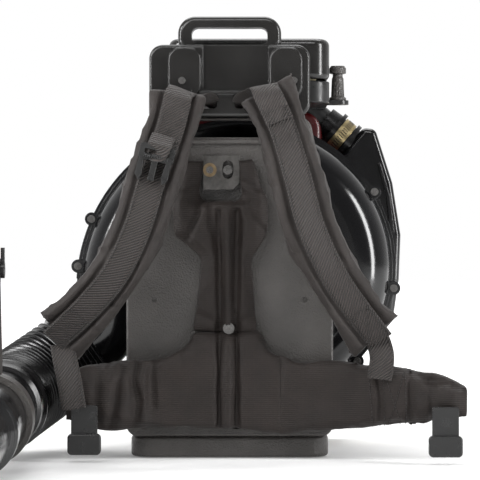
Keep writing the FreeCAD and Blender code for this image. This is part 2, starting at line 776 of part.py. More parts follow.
def intake_clamp():
    band = turned([(21.2, -8), (23, -8), (23, 7), (21.2, 7)], (0, 0, 0))
    housing = box(12, 9, 10, (-6, 22, -5))
    worm = cylinder(3.2, 22, (-11, 27, 0), "x")
    return along_elbow(fuse(band, housing, worm))


def side_box():
    outline = [(163, 389.5), (178, 388), (199, 322), (209, 258), (207, 204), (200, 156), (174, 148),
               (124, 172), (124, 342.5)]
    outside = slab("XZ_Plane", outline, "box_front", "box_back", corner=9, rim=7)
    inner = [(165, 384), (175, 383), (195, 321), (205, 258), (203, 205), (196, 160), (174, 152), (128, 176),
             (128, 340)]
    inside = slab("XZ_Plane", inner, "box_front + 4", "box_back - 4", corner=6)
    rib = slab("XZ_Plane", [(180, 346), (184, 346), (196, 304), (201, 262), (195, 262), (191, 304)],
               "box_front - 2", "box_front + 2", rim=0.8)
    bulb_hole = cylinder(11.6, 20, (164, "box_back - 10", 226), "y")
    throat_hole = cylinder(15.3, 10, (120, "engine_y", 278), "x")
    sleeve = along_elbow(cylinder(21.3, 60, (0, 0, 0)))
    return cut(fuse(outside, rib), inside, bulb_hole, throat_hole, sleeve)


def choke_lever():
    disc = cylinder(10, 5, (164, "box_back + 0.3", 292), "y")
    arm = box(7, 5, 34, (160.5, "box_back + 0.3", 292))
    return fuse(disc, arm)


def primer_bulb():
    profile = [(0, -3), (11, -3), (11, 3), (8, 9), (3, 12), (0, 12)]
    return turned(profile, (164, "box_back - 1", 226), "y")


# ---- elbow and hose ----

def elbow_frame():
    """The hose's start: its point and heading at the elbow's outlet."""
    turn = math.radians(size("elbow_turn"))
    bend = size("elbow_bend")
    point = Vector(size("duct_x") - bend * (1 - math.cos(turn)), size("split_y"),
                   size("elbow_start") - bend * math.sin(turn))
    heading = Vector(-math.sin(turn), 0, -math.cos(turn))
    return point, heading


def tube_ring(point, heading, outer, inner):
    discs = [Part.Face(Part.Wire(Part.makeCircle(radius, point, heading))) for radius in (outer, inner)]
    return discs[0].cut(discs[1]).Faces[0]


def outlet_elbow():
    outer = size("elbow_radius")
    start = Vector(size("duct_x"), size("split_y"), size("elbow_start"))
    inner = outer - 3.52
    top = tube_ring(start, Vector(0, 0, -1), outer, inner)
    pivot = start + Vector(-size("elbow_bend"), 0, 0)
    bend = top.revolve(pivot, Vector(0, 1, 0), size("elbow_turn"))
    sleeve = top.extrude(Vector(0, 0, size("duct_end") - 4.6 - start.z))
    point, heading = elbow_frame()
    spigot = tube_ring(point, heading, outer, inner).extrude(heading * 6)
    return feature(bend.fuse([sleeve, spigot]).removeSplitter())


def hose():
    """The corrugated hose's outer form: a quarter bend from the elbow to the pipe."""
    point, heading = elbow_frame()
    outer = size("hose_radius")
    ring = tube_ring(point, heading, outer, size("elbow_radius") + CLEAR)
    forward = Vector(0, -1, 0)
    centre = point + forward * size("hose_bend")
    return feature(ring.revolve(centre, heading.cross(forward), 90))


def pipe_start():
    point, heading = elbow_frame()
    return point + Vector(0, -1, 0) * size("hose_bend") + heading * size("hose_bend")


def on_pipe(thing):
    """Move a piece drawn about the pipe's own line, which is its Y axis, to where the pipe starts."""
    tilt = Rotation(Vector(1, 0, 0), size("pipe_tilt"))
    thing.Placement = Placement(pipe_start(), tilt).multiply(thing.Placement)
    return thing


def pipe_piece(profile):
    """A round piece about the pipe's line; heights run forwards from the hose's end."""
    inner = turned(profile, (0, 0, 0), "-y")
    return on_pipe(wrap(inner))


def hose_cuff():
    return pipe_piece([("pipe_radius + 0.3", 2.5), ("hose_radius - 4", 2.5), ("hose_radius - 1", 6),
                       ("hose_radius - 1", 18), ("hose_radius - 4", 22), ("hose_radius - 6", 40),
                       ("pipe_radius + 0.3", 44)])


def swivel_pipe():
    return pipe_piece([("pipe_radius - 3", 8), ("pipe_radius", 8), ("pipe_radius", 300),
                       ("pipe_radius + 4", 304), ("pipe_radius + 4", 326), ("pipe_radius + 1", 330),
                       ("pipe_radius - 3", 330)])


def straight_pipe():
    return pipe_piece([("pipe_radius - 6", 296), ("pipe_radius - 3.1", 296), ("pipe_radius - 3.1", 330.2),
                       ("pipe_radius + 1", 330.2), ("pipe_radius + 1", 336), ("pipe_radius - 2", 340),
                       ("pipe_radius - 2", 640), ("pipe_radius + 2", 644), ("pipe_radius + 2", 664),
                       ("pipe_radius - 1", 668), ("pipe_radius - 6", 668)])


def nozzle():
    return pipe_piece([("pipe_radius - 9", 636), ("pipe_radius - 6.1", 636), ("pipe_radius - 6.1", 668.2),
                       ("pipe_radius - 1", 668.2), ("pipe_radius - 1", 674), ("pipe_radius - 4", 680),
                       (31, "nozzle_end - 60"), (28, "nozzle_end - 50"), (28, "nozzle_end"),
                       (25, "nozzle_end"), (25, "nozzle_end - 60")])


# ---- control handle ----

PIVOT_RADIUS = 2


def control_handle():
    ring = cut(cylinder("pipe_radius + 7", 34, (0, -150, 0), "-y"),
               cylinder("pipe_radius + 0.1", 40, (0, -148, 0), "-y"))
    lug = slab("YZ_Plane", rectangle(-182, -152, -9, 9), -62, -44, corner=3, rim=2)
    gap = box(26, 60, 4, (-66, -200, -2))
    outline = [(-186, 44), (-148, 44), (-150, 70), (-156, 92), (-166, 150), (-158, 176), (-204, 186),
               (-208, 168), (-196, 150), (-184, 92), (-182, 70)]
    grip = slab("YZ_Plane", outline, -15, 15, corner=5, rim=8)
    pocket = box(13, 26, 62, (-6.5, -208, 98))
    gland = cylinder(5, 12, (0, -140, 60), "-y")
    pivot_hole = cylinder(PIVOT_RADIUS + 0.06, 25, (-12.5, -188, 154), "x")
    return on_pipe(cut(fuse(ring, lug, grip, gland), gap, pocket, pivot_hole))


def throttle_trigger():
    outline = [(-192, 158), (-184, 158), (-184, 148), (-189, 130), (-194, 104), (-206, 102), (-204, 124),
               (-202, 148), (-200, 158)]
    finger_piece = slab("YZ_Plane", outline, -6, 6, rim=1.5)
    pivot_pin = cylinder(PIVOT_RADIUS, 24, (-12, -188, 154), "x")
    return on_pipe(fuse(finger_piece, pivot_pin))


def cruise_lever():
    disc = cylinder(9, 4, (15.4, -176, 162), "x")
    arm = box(4, 7, 24, (15.4, -179.5, 162))
    return on_pipe(fuse(disc, arm))


def stop_switch():
    return on_pipe(slab("YZ_Plane", [(-186, 184.2), (-172, 181.2), (-172, 188), (-186, 191)], -6, 6, rim=1.2))


node("base_foot", base_foot())
node("back_plate", back_plate())
node("yoke", yoke())
node("hanger_plate", hanger_plate())
node("brass_grommet", grommet())
node("frame_screws", frame_screws())
node("back_pad", back_pad())
node("hip_belt", hip_belt())
node("shoulder_pad_left", shoulder_pad(LEFT_LINE))
node("shoulder_pad_right", shoulder_pad(RIGHT_LINE))
node("webbing_left", webbing(LEFT_LINE))
node("webbing_right", webbing(RIGHT_LINE))
node("side_release_buckle", buckle())
node("adjuster_tails", adjuster_tails())
node("belt_buckles", belt_buckles())
node("volute_front", volute_front())
node("volute_rear", volute_rear())
node("volute_screws", volute_screws())
node("intake_grille", intake_grille())
node("outlet_collar", outlet_collar())
node("av_mounts", av_mounts())
node("impeller", impeller())
node("crankshaft", crankshaft())
node("flywheel", flywheel())
node("crankcase", crankcase())
node("main_bearings", main_bearings())
node("cylinder", cylinder_head())
node("piston", piston())
node("spark_plug", spark_plug())
node("ignition_coil", ignition_coil())
node("muffler", muffler())
node("muffler_guard", muffler_guard())
node("carburettor", carburettor())
node("throttle_lever", throttle_lever())
node("engine_cover", engine_cover())
node("starter_housing", starter_housing())
node("starter_pulley", starter_pulley())
node("starter_handle", starter_handle())
node("starter_rope", starter_rope())
node("fuel_tank", fuel_tank())
node("fuel_cap", fuel_cap())
node("air_cleaner_body", air_cleaner_body())
node("air_cleaner_cover", air_cleaner_cover())
node("filter_element", filter_element())
node("air_cleaner_knob", air_cleaner_knob())
node("intake_elbow", intake_elbow())
node("intake_clamp", intake_clamp())
node("side_box", side_box())
node("choke_lever", choke_lever())
node("primer_bulb", primer_bulb())
node("outlet_elbow", outlet_elbow())
node("hose", hose())
node("hose_cuff", hose_cuff())
node("swivel_pipe", swivel_pipe())
node("straight_pipe", straight_pipe())
node("nozzle", nozzle())
node("control_handle", control_handle())
node("throttle_trigger", throttle_trigger())
node("cruise_lever", cruise_lever())
node("stop_switch", stop_switch())

doc.recompute()
for thing in doc.Objects:
    if "Invalid" in thing.State or "Error" in thing.State:
        raise RuntimeError("%s failed: %s" % (thing.Name, thing.State))
for thing in NODES:
    if thing.Shape.isNull() or not thing.Shape.isValid():
        raise RuntimeError("%s has no valid shape" % thing.Label)
os.makedirs("parts", exist_ok=True)
for thing in NODES:
    thing.Shape.exportStep("parts/%s.step" % thing.Label)
print("wrote %d sub-parts" % len(NODES))
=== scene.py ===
import json
import math

import bmesh
import bpy
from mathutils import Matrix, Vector, noise
from mathutils.bvhtree import BVHTree


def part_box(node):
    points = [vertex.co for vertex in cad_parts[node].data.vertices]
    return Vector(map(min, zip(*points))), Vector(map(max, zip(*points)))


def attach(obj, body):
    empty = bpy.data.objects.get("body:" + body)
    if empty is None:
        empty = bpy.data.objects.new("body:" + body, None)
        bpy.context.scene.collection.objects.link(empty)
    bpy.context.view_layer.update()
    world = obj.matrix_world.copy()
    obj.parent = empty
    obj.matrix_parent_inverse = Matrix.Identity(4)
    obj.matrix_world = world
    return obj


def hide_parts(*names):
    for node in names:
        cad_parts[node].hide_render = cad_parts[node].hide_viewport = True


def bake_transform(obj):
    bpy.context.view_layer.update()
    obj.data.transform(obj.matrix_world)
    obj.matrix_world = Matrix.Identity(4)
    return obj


# Backpack leaf blower: harness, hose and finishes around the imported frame.
# Metres, +Z up; -Y is the wearer's side.

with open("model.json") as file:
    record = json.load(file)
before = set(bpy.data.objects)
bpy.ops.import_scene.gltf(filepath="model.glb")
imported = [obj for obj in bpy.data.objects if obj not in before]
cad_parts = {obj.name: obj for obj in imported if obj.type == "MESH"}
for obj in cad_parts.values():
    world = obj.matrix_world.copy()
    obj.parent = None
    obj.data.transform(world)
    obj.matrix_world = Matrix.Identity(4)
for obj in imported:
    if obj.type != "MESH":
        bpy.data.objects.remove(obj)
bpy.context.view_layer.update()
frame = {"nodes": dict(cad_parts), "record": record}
nodes = frame["nodes"]
TAU = 2 * math.pi


# ---- camera, floor and light ----

VIEW_POINT = Vector((0.012, -0.040, 0.252))
CAMERA_DISTANCE = 3.0
VIEW_WIDTH = 0.576
SENSOR = 36.0
ROOM_DIM = 0.16
ROOM_BRIGHT = 0.9
FLOOR_REACH = 12
FLOOR_LEVEL = -0.001
SOFTBOXES = {
    # name: place, width, height, power
    "softbox_key": ((-1.3, -2.3, 1.7), 1.5, 1.1, 36),
    "softbox_right": ((2.0, -1.1, 0.7), 0.4, 1.7, 44),
    "softbox_left": ((-2.0, -0.9, 0.8), 0.35, 1.7, 44),
    "softbox_brow": ((0.1, -1.9, 2.2), 1.5, 0.5, 20),
    "softbox_top": ((0.0, 0.7, 2.1), 1.8, 0.9, 26),
}


def add_camera():
    data = bpy.data.cameras.new("camera")
    data.sensor_width = SENSOR
    data.lens = SENSOR * CAMERA_DISTANCE / VIEW_WIDTH
    camera = bpy.data.objects.new("camera", data)
    camera.location = VIEW_POINT + Vector((0, -CAMERA_DISTANCE, 0))
    camera.rotation_euler = (math.radians(90), 0, 0)
    bpy.context.scene.collection.objects.link(camera)
    bpy.context.scene.camera = camera


def add_softbox(name, place, width, height, power):
    data = bpy.data.lights.new(name, "AREA")
    data.shape = "RECTANGLE"
    data.size = width
    data.size_y = height
    data.energy = power
    light = bpy.data.objects.new(name, data)
    light.location = place
    light.rotation_euler = (VIEW_POINT - Vector(place)).to_track_quat("-Z", "Y").to_euler()
    bpy.context.scene.collection.objects.link(light)


def studio_world():
    """White where it is looked at, dimmer as a light, and brighter behind the object than before it."""
    world = bpy.data.worlds.new("studio")
    world.use_nodes = True
    tree = world.node_tree
    background = tree.nodes["Background"]
    facing = tree.nodes.new("ShaderNodeTexCoord").outputs["Generated"]
    behind = remap(tree, axis_of(tree, facing, "Y"), -0.3, 0.9, ROOM_DIM, ROOM_BRIGHT)
    seen = tree.nodes.new("ShaderNodeLightPath").outputs["Is Camera Ray"]
    strength = tree.nodes.new("ShaderNodeMix")
    tree.links.new(seen, strength.inputs["Factor"])
    tree.links.new(behind, strength.inputs["A"])
    strength.inputs["B"].default_value = 1.0
    background.inputs["Color"].default_value = (1, 1, 1, 1)
    tree.links.new(strength.outputs["Result"], background.inputs["Strength"])
    return world


def add_studio():
    bpy.context.scene.view_settings.view_transform = "Standard"
    bpy.context.scene.world = studio_world()
    for name, (place, width, height, power) in SOFTBOXES.items():
        add_softbox(name, place, width, height, power)
    floor_mesh = bpy.data.meshes.new("floor")
    corners = [(FLOOR_REACH * x, FLOOR_REACH * y, FLOOR_LEVEL)
               for x, y in ((-1, -1), (1, -1), (1, 1), (-1, 1))]
    floor_mesh.from_pydata(corners, [], [(0, 1, 2, 3)])
    floor = bpy.data.objects.new("floor", floor_mesh)
    bpy.context.scene.collection.objects.link(floor)
    floor_mesh.materials.append(pale_floor())


# ---- material building ----

def start_material(name):
    material = bpy.data.materials.new(name)
    material.use_nodes = True
    tree = material.node_tree
    return material, tree, tree.nodes["Principled BSDF"]


def coordinates(tree):
    return tree.nodes.new("ShaderNodeTexCoord").outputs["Object"]


def noise_field(tree, size, detail=3.0, stretch=None):
    """A cloudy 0 to 1 field whose blotches are about size metres across."""
    field = tree.nodes.new("ShaderNodeTexNoise")
    field.inputs["Scale"].default_value = 1 / size
    field.inputs["Detail"].default_value = detail
    source = coordinates(tree)
    if stretch:
        mapping = tree.nodes.new("ShaderNodeMapping")
        mapping.inputs["Scale"].default_value = stretch
        tree.links.new(source, mapping.inputs["Vector"])
        source = mapping.outputs["Vector"]
    tree.links.new(source, field.inputs["Vector"])
    return field.outputs["Fac"]


def remap(tree, value, low, high, out_low, out_high):
    node = tree.nodes.new("ShaderNodeMapRange")
    tree.links.new(value, node.inputs["Value"])
    for name, number in (("From Min", low), ("From Max", high), ("To Min", out_low), ("To Max", out_high)):
        node.inputs[name].default_value = number
    return node.outputs["Result"]


def calculate(tree, operation, first, second=None):
    node = tree.nodes.new("ShaderNodeMath")
    node.operation = operation
    for socket, value in zip(node.inputs, (first, second)):
        if value is None:
            continue
        if isinstance(value, (int, float)):
            socket.default_value = value
        else:
            tree.links.new(value, socket)
    return node.outputs["Value"]


def axis_of(tree, vector, axis):
    split = tree.nodes.new("ShaderNodeSeparateXYZ")
    tree.links.new(vector, split.inputs["Vector"])
    return split.outputs[axis]


def wave(tree, value, pitch):
    """Smooth ribs from 0 to 1, one each pitch metres of value."""
    angle = calculate(tree, "MULTIPLY", value, TAU / pitch)
    return remap(tree, calculate(tree, "SINE", angle), -1, 1, 0, 1)


def mix_colours(tree, factor, first, second):
    node = tree.nodes.new("ShaderNodeMix")
    node.data_type = "RGBA"
    tree.links.new(factor, node.inputs["Factor"])
    node.inputs["A"].default_value = (*first, 1)
    node.inputs["B"].default_value = (*second, 1)
    return node.outputs["Result"]


def add_bump(tree, shader, height, depth):
    """A bump of depth metres, added to any bump that the shader already has."""
    node = tree.nodes.new("ShaderNodeBump")
    node.inputs["Distance"].default_value = depth
    tree.links.new(height, node.inputs["Height"])
    if shader.inputs["Normal"].links:
        tree.links.new(shader.inputs["Normal"].links[0].from_socket, node.inputs["Normal"])
    tree.links.new(node.outputs["Normal"], shader.inputs["Normal"])


def tinted(colour, factor):
    return tuple(part * factor for part in colour)


def soften_edges(tree, shader, radius):
    """Worn-looking corners: the shading rolls round every sharp edge within radius metres."""
    node = tree.nodes.new("ShaderNodeBevel")
    node.samples = 4
    node.inputs["Radius"].default_value = radius
    tree.links.new(node.outputs["Normal"], shader.inputs["Normal"])


def pale_floor():
    """White paper that fades into the white room a little way from the object."""
    material, tree, shader = start_material("floor_pale")
    shade = mix_colours(tree, noise_field(tree, 0.6), (0.86, 0.86, 0.86), (0.9, 0.9, 0.9))
    tree.links.new(shade, shader.inputs["Base Color"])
    shader.inputs["Roughness"].default_value = 0.8
    shader.inputs["Emission Color"].default_value = (1, 1, 1, 1)
    away = tree.nodes.new("ShaderNodeVectorMath")
    away.operation = "LENGTH"
    tree.links.new(coordinates(tree), away.inputs[0])
    glow = remap(tree, away.outputs["Value"], 0.5, 3.0, 0.12, 1.0)
    tree.links.new(glow, shader.inputs["Emission Strength"])
    return material


def moulded_plastic(name, colour, rough, grain=0.0011, depth=0.00012, clouds=0.05):
    """Textured mouldings: fine pebbled grain, faint cloudy colour and scuffed gloss."""
    material, tree, shader = start_material(name)
    soften_edges(tree, shader, 0.0012)
    cloud = noise_field(tree, clouds, 5)
    shade = mix_colours(tree, remap(tree, cloud, 0.3, 0.7, 0, 1), tinted(colour, 0.82), tinted(colour, 1.2))
    tree.links.new(shade, shader.inputs["Base Color"])
    scuffs = noise_field(tree, 0.012, 6)
    tree.links.new(remap(tree, scuffs, 0.35, 0.7, rough - 0.08, rough + 0.1), shader.inputs["Roughness"])
    pebbles = tree.nodes.new("ShaderNodeTexVoronoi")
    pebbles.inputs["Scale"].default_value = 1 / grain
    tree.links.new(coordinates(tree), pebbles.inputs["Vector"])
    add_bump(tree, shader, pebbles.outputs["Distance"], depth)
    add_bump(tree, shader, noise_field(tree, 0.03, 2), depth * 2)
    return material


def gloss_plastic(name, colour, rough=0.16):
    """Polished mouldings: slow ripples under a clear shine, with faint smudges."""
    material, tree, shader = start_material(name)
    soften_edges(tree, shader, 0.0014)
    cloud = noise_field(tree, 0.09, 4)
    cloudy = remap(tree, cloud, 0.35, 0.65, 0, 1)
    shade = mix_colours(tree, cloudy, tinted(colour, 0.75), tinted(colour, 1.3))
    tree.links.new(shade, shader.inputs["Base Color"])
    smudge = noise_field(tree, 0.035, 7)
    tree.links.new(remap(tree, smudge, 0.4, 0.75, rough, rough + 0.06), shader.inputs["Roughness"])
    add_bump(tree, shader, noise_field(tree, 0.022, 1), 0.00006)
    return material


def soft_rubber(name, colour, rough=0.28):
    """Black rubber with a dusty bloom, fine skin texture and uneven shine."""
    material, tree, shader = start_material(name)
    dust = remap(tree, noise_field(tree, 0.02, 6), 0.4, 0.75, 0, 1)
    tree.links.new(mix_colours(tree, dust, colour, tinted(colour, 1.7)), shader.inputs["Base Color"])
    tree.links.new(remap(tree, noise_field(tree, 0.01, 4), 0.3, 0.7, rough, rough + 0.08),
                   shader.inputs["Roughness"])
    add_bump(tree, shader, noise_field(tree, 0.0018, 3), 0.00004)
    return material


def bright_metal(name, colour, rough, stretch=(1, 1, 12)):
    """Plated or machined metal: drawn hairlines, cloudy tarnish and uneven gloss."""
    material, tree, shader = start_material(name)
    soften_edges(tree, shader, 0.0006)
    tarnish = remap(tree, noise_field(tree, 0.008, 5), 0.4, 0.7, 0, 1)
    tree.links.new(mix_colours(tree, tarnish, colour, tinted(colour, 0.62)), shader.inputs["Base Color"])
    shader.inputs["Metallic"].default_value = 1.0
    hair = noise_field(tree, 0.002, 3, stretch)
    tree.links.new(remap(tree, hair, 0.3, 0.7, rough - 0.06, rough + 0.12), shader.inputs["Roughness"])
    add_bump(tree, shader, hair, 0.00003)
    return material


def cast_metal(name, colour, rough):
    """Raw castings and heated steel: sandy skin with darker stains."""
    material, tree, shader = start_material(name)
    stain = remap(tree, noise_field(tree, 0.03, 6), 0.35, 0.7, 0, 1)
    tree.links.new(mix_colours(tree, stain, colour, tinted(colour, 0.5)), shader.inputs["Base Color"])
    shader.inputs["Metallic"].default_value = 0.85
    tree.links.new(remap(tree, stain, 0, 1, rough, rough + 0.15), shader.inputs["Roughness"])
    add_bump(tree, shader, noise_field(tree, 0.0015, 4), 0.00015)
    return material


def tank_plastic(name, colour):
    """Translucent blow-moulded tank, a little cloudy, with a darker fuel line low down."""
    material, tree, shader = start_material(name)
    height = axis_of(tree, coordinates(tree), "Z")
    fuel = remap(tree, height, 0.068, 0.072, 0, 1)
    tree.links.new(mix_colours(tree, fuel, tinted(colour, 0.72), colour), shader.inputs["Base Color"])
    shader.inputs["Subsurface Weight"].default_value = 0.25
    shader.inputs["Subsurface Scale"].default_value = 0.01
    tree.links.new(remap(tree, noise_field(tree, 0.02, 5), 0.3, 0.7, 0.35, 0.5), shader.inputs["Roughness"])
    add_bump(tree, shader, noise_field(tree, 0.006, 3), 0.0002)
    return material


def woven_cloth(name, colour, row, rows_show=1.0):
    """Coated pack cloth: horizontal yarn rows, crossing yarns, crumple and colour drift."""
    material, tree, shader = start_material(name)
    place = coordinates(tree)
    wander = remap(tree, noise_field(tree, 0.02, 3), 0, 1, 0, 0.0015)
    rows = wave(tree, calculate(tree, "ADD", axis_of(tree, place, "Z"), wander), row)
    columns = wave(tree, axis_of(tree, place, "X"), row * 2)
    yarn = calculate(tree, "MULTIPLY", rows, remap(tree, columns, 0, 1, 0.7, 1))
    drift = remap(tree, noise_field(tree, 0.03, 5), 0.3, 0.7, 0.75, 1.2)
    fuzz = remap(tree, noise_field(tree, 0.002, 4), 0.3, 0.7, 0.85, 1.15)
    woven = remap(tree, yarn, 0, 1, 1 - 0.3 * rows_show, 1 + 0.2 * rows_show)
    tone = calculate(tree, "MULTIPLY", woven, drift)
    tone = calculate(tree, "MULTIPLY", tone, fuzz)
    shade = mix_colours(tree, remap(tree, tone, 0.4, 1.5, 0, 1), tinted(colour, 0.45), tinted(colour, 1.5))
    tree.links.new(shade, shader.inputs["Base Color"])
    shader.inputs["Roughness"].default_value = 0.66
    shader.inputs["Sheen Weight"].default_value = 0.05
    shader.inputs["Sheen Roughness"].default_value = 0.4
    shader.inputs["Specular IOR Level"].default_value = 0.3
    add_bump(tree, shader, yarn, 0.00025 * rows_show)
    add_bump(tree, shader, noise_field(tree, 0.012, 5), 0.0011)
    return material


def ribbed_webbing(name, colour, pitch=0.0038, slant=0.9):
    """Heavy webbing: slanted ribs laid on the strap's own length and width."""
    material, tree, shader = start_material(name)
    source = tree.nodes.new("ShaderNodeUVMap")
    source.uv_map = "strap"
    along = axis_of(tree, source.outputs["UV"], "Y")
    sideways = axis_of(tree, source.outputs["UV"], "X")
    slanted = calculate(tree, "ADD", along, calculate(tree, "MULTIPLY", sideways, slant))
    ribs = wave(tree, slanted, pitch)
    threads = wave(tree, sideways, 0.0019)
    weave = calculate(tree, "MULTIPLY", ribs, remap(tree, threads, 0, 1, 0.75, 1))
    fuzz = remap(tree, noise_field(tree, 0.003, 6), 0.3, 0.7, 0.7, 1.3)
    tone = calculate(tree, "MULTIPLY", weave, fuzz)
    shade = mix_colours(tree, tone, tinted(colour, 0.25), tinted(colour, 2.6))
    tree.links.new(shade, shader.inputs["Base Color"])
    shader.inputs["Roughness"].default_value = 0.6
    shader.inputs["Sheen Weight"].default_value = 0.05
    add_bump(tree, shader, weave, 0.0008)
    return material


def pleated_paper(name, colour):
    material, tree, shader = start_material(name)
    fibres = remap(tree, noise_field(tree, 0.002, 6), 0.3, 0.7, 0, 1)
    tree.links.new(mix_colours(tree, fibres, tinted(colour, 0.8), colour), shader.inputs["Base Color"])
    shader.inputs["Roughness"].default_value = 0.9
    add_bump(tree, shader, fibres, 0.0002)
    return material


def make_materials():
    return {
        "frame_plastic": moulded_plastic("moulded_grey_black", (0.050, 0.046, 0.043), 0.40, 0.0021, 0.00055),
        "gloss_shell": gloss_plastic("gloss_black", (0.0040, 0.0040, 0.0045), 0.13),
        "yoke_plastic": gloss_plastic("yoke_black", (0.010, 0.0095, 0.009), 0.2),
        "small_plastic": moulded_plastic("satin_black", (0.010, 0.010, 0.010), 0.32, depth=0.00004),
        "stop_red": moulded_plastic("stop_red", (0.42, 0.02, 0.015), 0.4, depth=0.00005),
        "red_cover": gloss_plastic("dark_red_gloss", (0.042, 0.0016, 0.0024), 0.24),
        "tank_plastic": tank_plastic("tank_natural", (0.62, 0.60, 0.54)),
        "hose_rubber": soft_rubber("hose_black", (0.0042, 0.0040, 0.0042), 0.2),
        "steel": bright_metal("zinc_steel", (0.42, 0.42, 0.43), 0.34),
        "painted_steel": bright_metal("dark_painted_steel", (0.12, 0.115, 0.11), 0.38),
        "black_screw": bright_metal("black_zinc_screw", (0.17, 0.165, 0.16), 0.3),
        "brass": bright_metal("dull_brass", (0.27, 0.20, 0.12), 0.42),
        "cast_alloy": cast_metal("cast_alloy", (0.5, 0.5, 0.5), 0.42),
        "impeller_plastic": moulded_plastic("filled_nylon", (0.05, 0.05, 0.052), 0.42),
        "dark_steel": cast_metal("heated_black_steel", (0.1, 0.09, 0.08), 0.55),
        "filter_foam": pleated_paper("filter_paper", (0.7, 0.62, 0.42)),
        "pad_fabric": woven_cloth("pack_cloth", (0.0150, 0.0108, 0.0092), 0.0023),
        "strap_fabric": woven_cloth("strap_cloth", (0.0225, 0.0185, 0.0170), 0.0016, 0.3),
        "webbing": ribbed_webbing("ribbed_webbing", (0.0125, 0.0090, 0.0076)),
        "thread": moulded_plastic("stitch_thread", (0.022, 0.020, 0.019), 0.6, grain=0.0004, depth=0.00005),
        "gold_zinc": bright_metal("gold_zinc", (0.62, 0.50, 0.27), 0.28, (12, 1, 1)),
        "rope": moulded_plastic("braided_rope", (0.34, 0.33, 0.30), 0.6, grain=0.0016, depth=0.0004),
    }


def finish_nodes(materials):
    """Give every CAD node its slot's finish, and a few nodes one of their own."""
    slots = {row["node"]: row["material_slot"] for row in frame["record"]["subparts"]}
    own = {"intake_clamp": "gold_zinc", "hose_cuff": "hose_rubber", "yoke": "yoke_plastic",
           "hanger_plate": "painted_steel", "frame_screws": "black_screw", "volute_screws": "black_screw",
           "air_cleaner_cover": "yoke_plastic", "air_cleaner_body": "small_plastic"}
    for name, piece in nodes.items():
        material = materials[own.get(name, slots[name])]
        piece.data.materials.clear()
        piece.data.materials.append(material)


# ---- mesh helpers ----

def add_piece(name, verts, faces, material, body, smooth=True):
    mesh = bpy.data.meshes.new(name)
    mesh.from_pydata([tuple(vert) for vert in verts], [], faces)
    mesh.update()
    piece = bpy.data.objects.new(name, mesh)
    bpy.context.scene.collection.objects.link(piece)
    mesh.materials.append(material)
    if smooth:
        mesh.shade_smooth()
    if body:
        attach(piece, body)
    return piece


def use_modifiers(piece):
    """Apply every modifier to the piece's own mesh."""
    graph = bpy.context.evaluated_depsgraph_get()
    result = bpy.data.meshes.new_from_object(piece.evaluated_get(graph))
    piece.modifiers.clear()
    piece.data = result


def smooth_line(points, count):
    """Evenly spaced places along a smooth curve through the points."""
    dense = []
    steps = 24
    for index in range(len(points) - 1):
        before = points[max(index - 1, 0)]
        start = points[index]
        end = points[index + 1]
        after = points[min(index + 2, len(points) - 1)]
        for step in range(steps):
            part = step / steps
            dense.append(0.5 * (2 * start + (end - before) * part
                                + (2 * before - 5 * start + 4 * end - after) * part ** 2
                                + (3 * start - before - 3 * end + after) * part ** 3))
    dense.append(points[-1])
    lengths = [0.0]
    for first, second in zip(dense, dense[1:]):
        lengths.append(lengths[-1] + (second - first).length)
    result = []
    spot = 0
    for index in range(count):
        target = lengths[-1] * index / (count - 1)
        while spot < len(dense) - 2 and lengths[spot + 1] < target:
            spot += 1
        share = (target - lengths[spot]) / max(lengths[spot + 1] - lengths[spot], 1e-9)
        result.append(dense[spot].lerp(dense[spot + 1], min(share, 1)))
    return result


def ribbon_frames(path, outward):
    """For each place on a path: the place, its heading, its sideways and its outward direction."""
    frames = []
    last = len(path) - 1
    for index, place in enumerate(path):
        heading = (path[min(index + 1, last)] - path[max(index - 1, 0)]).normalized()
        out = outward(place)
        out = (out - heading * out.dot(heading)).normalized()
        frames.append((place, heading, out.cross(heading).normalized(), out))
    return frames


def webbing_strip(name, frames, width, thick, material, body):
    """A flat woven strip that follows the frames, with its length and width stored for the weave."""
    across = 8
    verts = []
    uvs = []
    travelled = 0.0
    previous = frames[0][0]
    for place, heading, side, out in frames:
        travelled += (place - previous).length
        previous = place
        for layer in (1, -1):
            for column in range(across + 1):
                share = column / across - 0.5
                if layer < 0:
                    share = -share
                edge = 1 - (2 * abs(share)) ** 8 * 0.7
                verts.append(place + side * (share * width) + out * (layer * thick / 2 * edge))
                uvs.append((share * width, travelled))
    ring = 2 * (across + 1)
    faces = []
    for row in range(len(frames) - 1):
        for column in range(ring):
            following = (column + 1) % ring
            faces.append((row * ring + column, row * ring + following, (row + 1) * ring + following,
                          (row + 1) * ring + column))
    faces.append(tuple(range(ring - 1, -1, -1)))
    end = (len(frames) - 1) * ring
    faces.append(tuple(range(end, end + ring)))
    piece = add_piece(name, verts, faces, material, body)
    layer_data = piece.data.uv_layers.new(name="strap")
    for loop in piece.data.loops:
        layer_data.data[loop.index].uv = uvs[loop.vertex_index]
    return piece


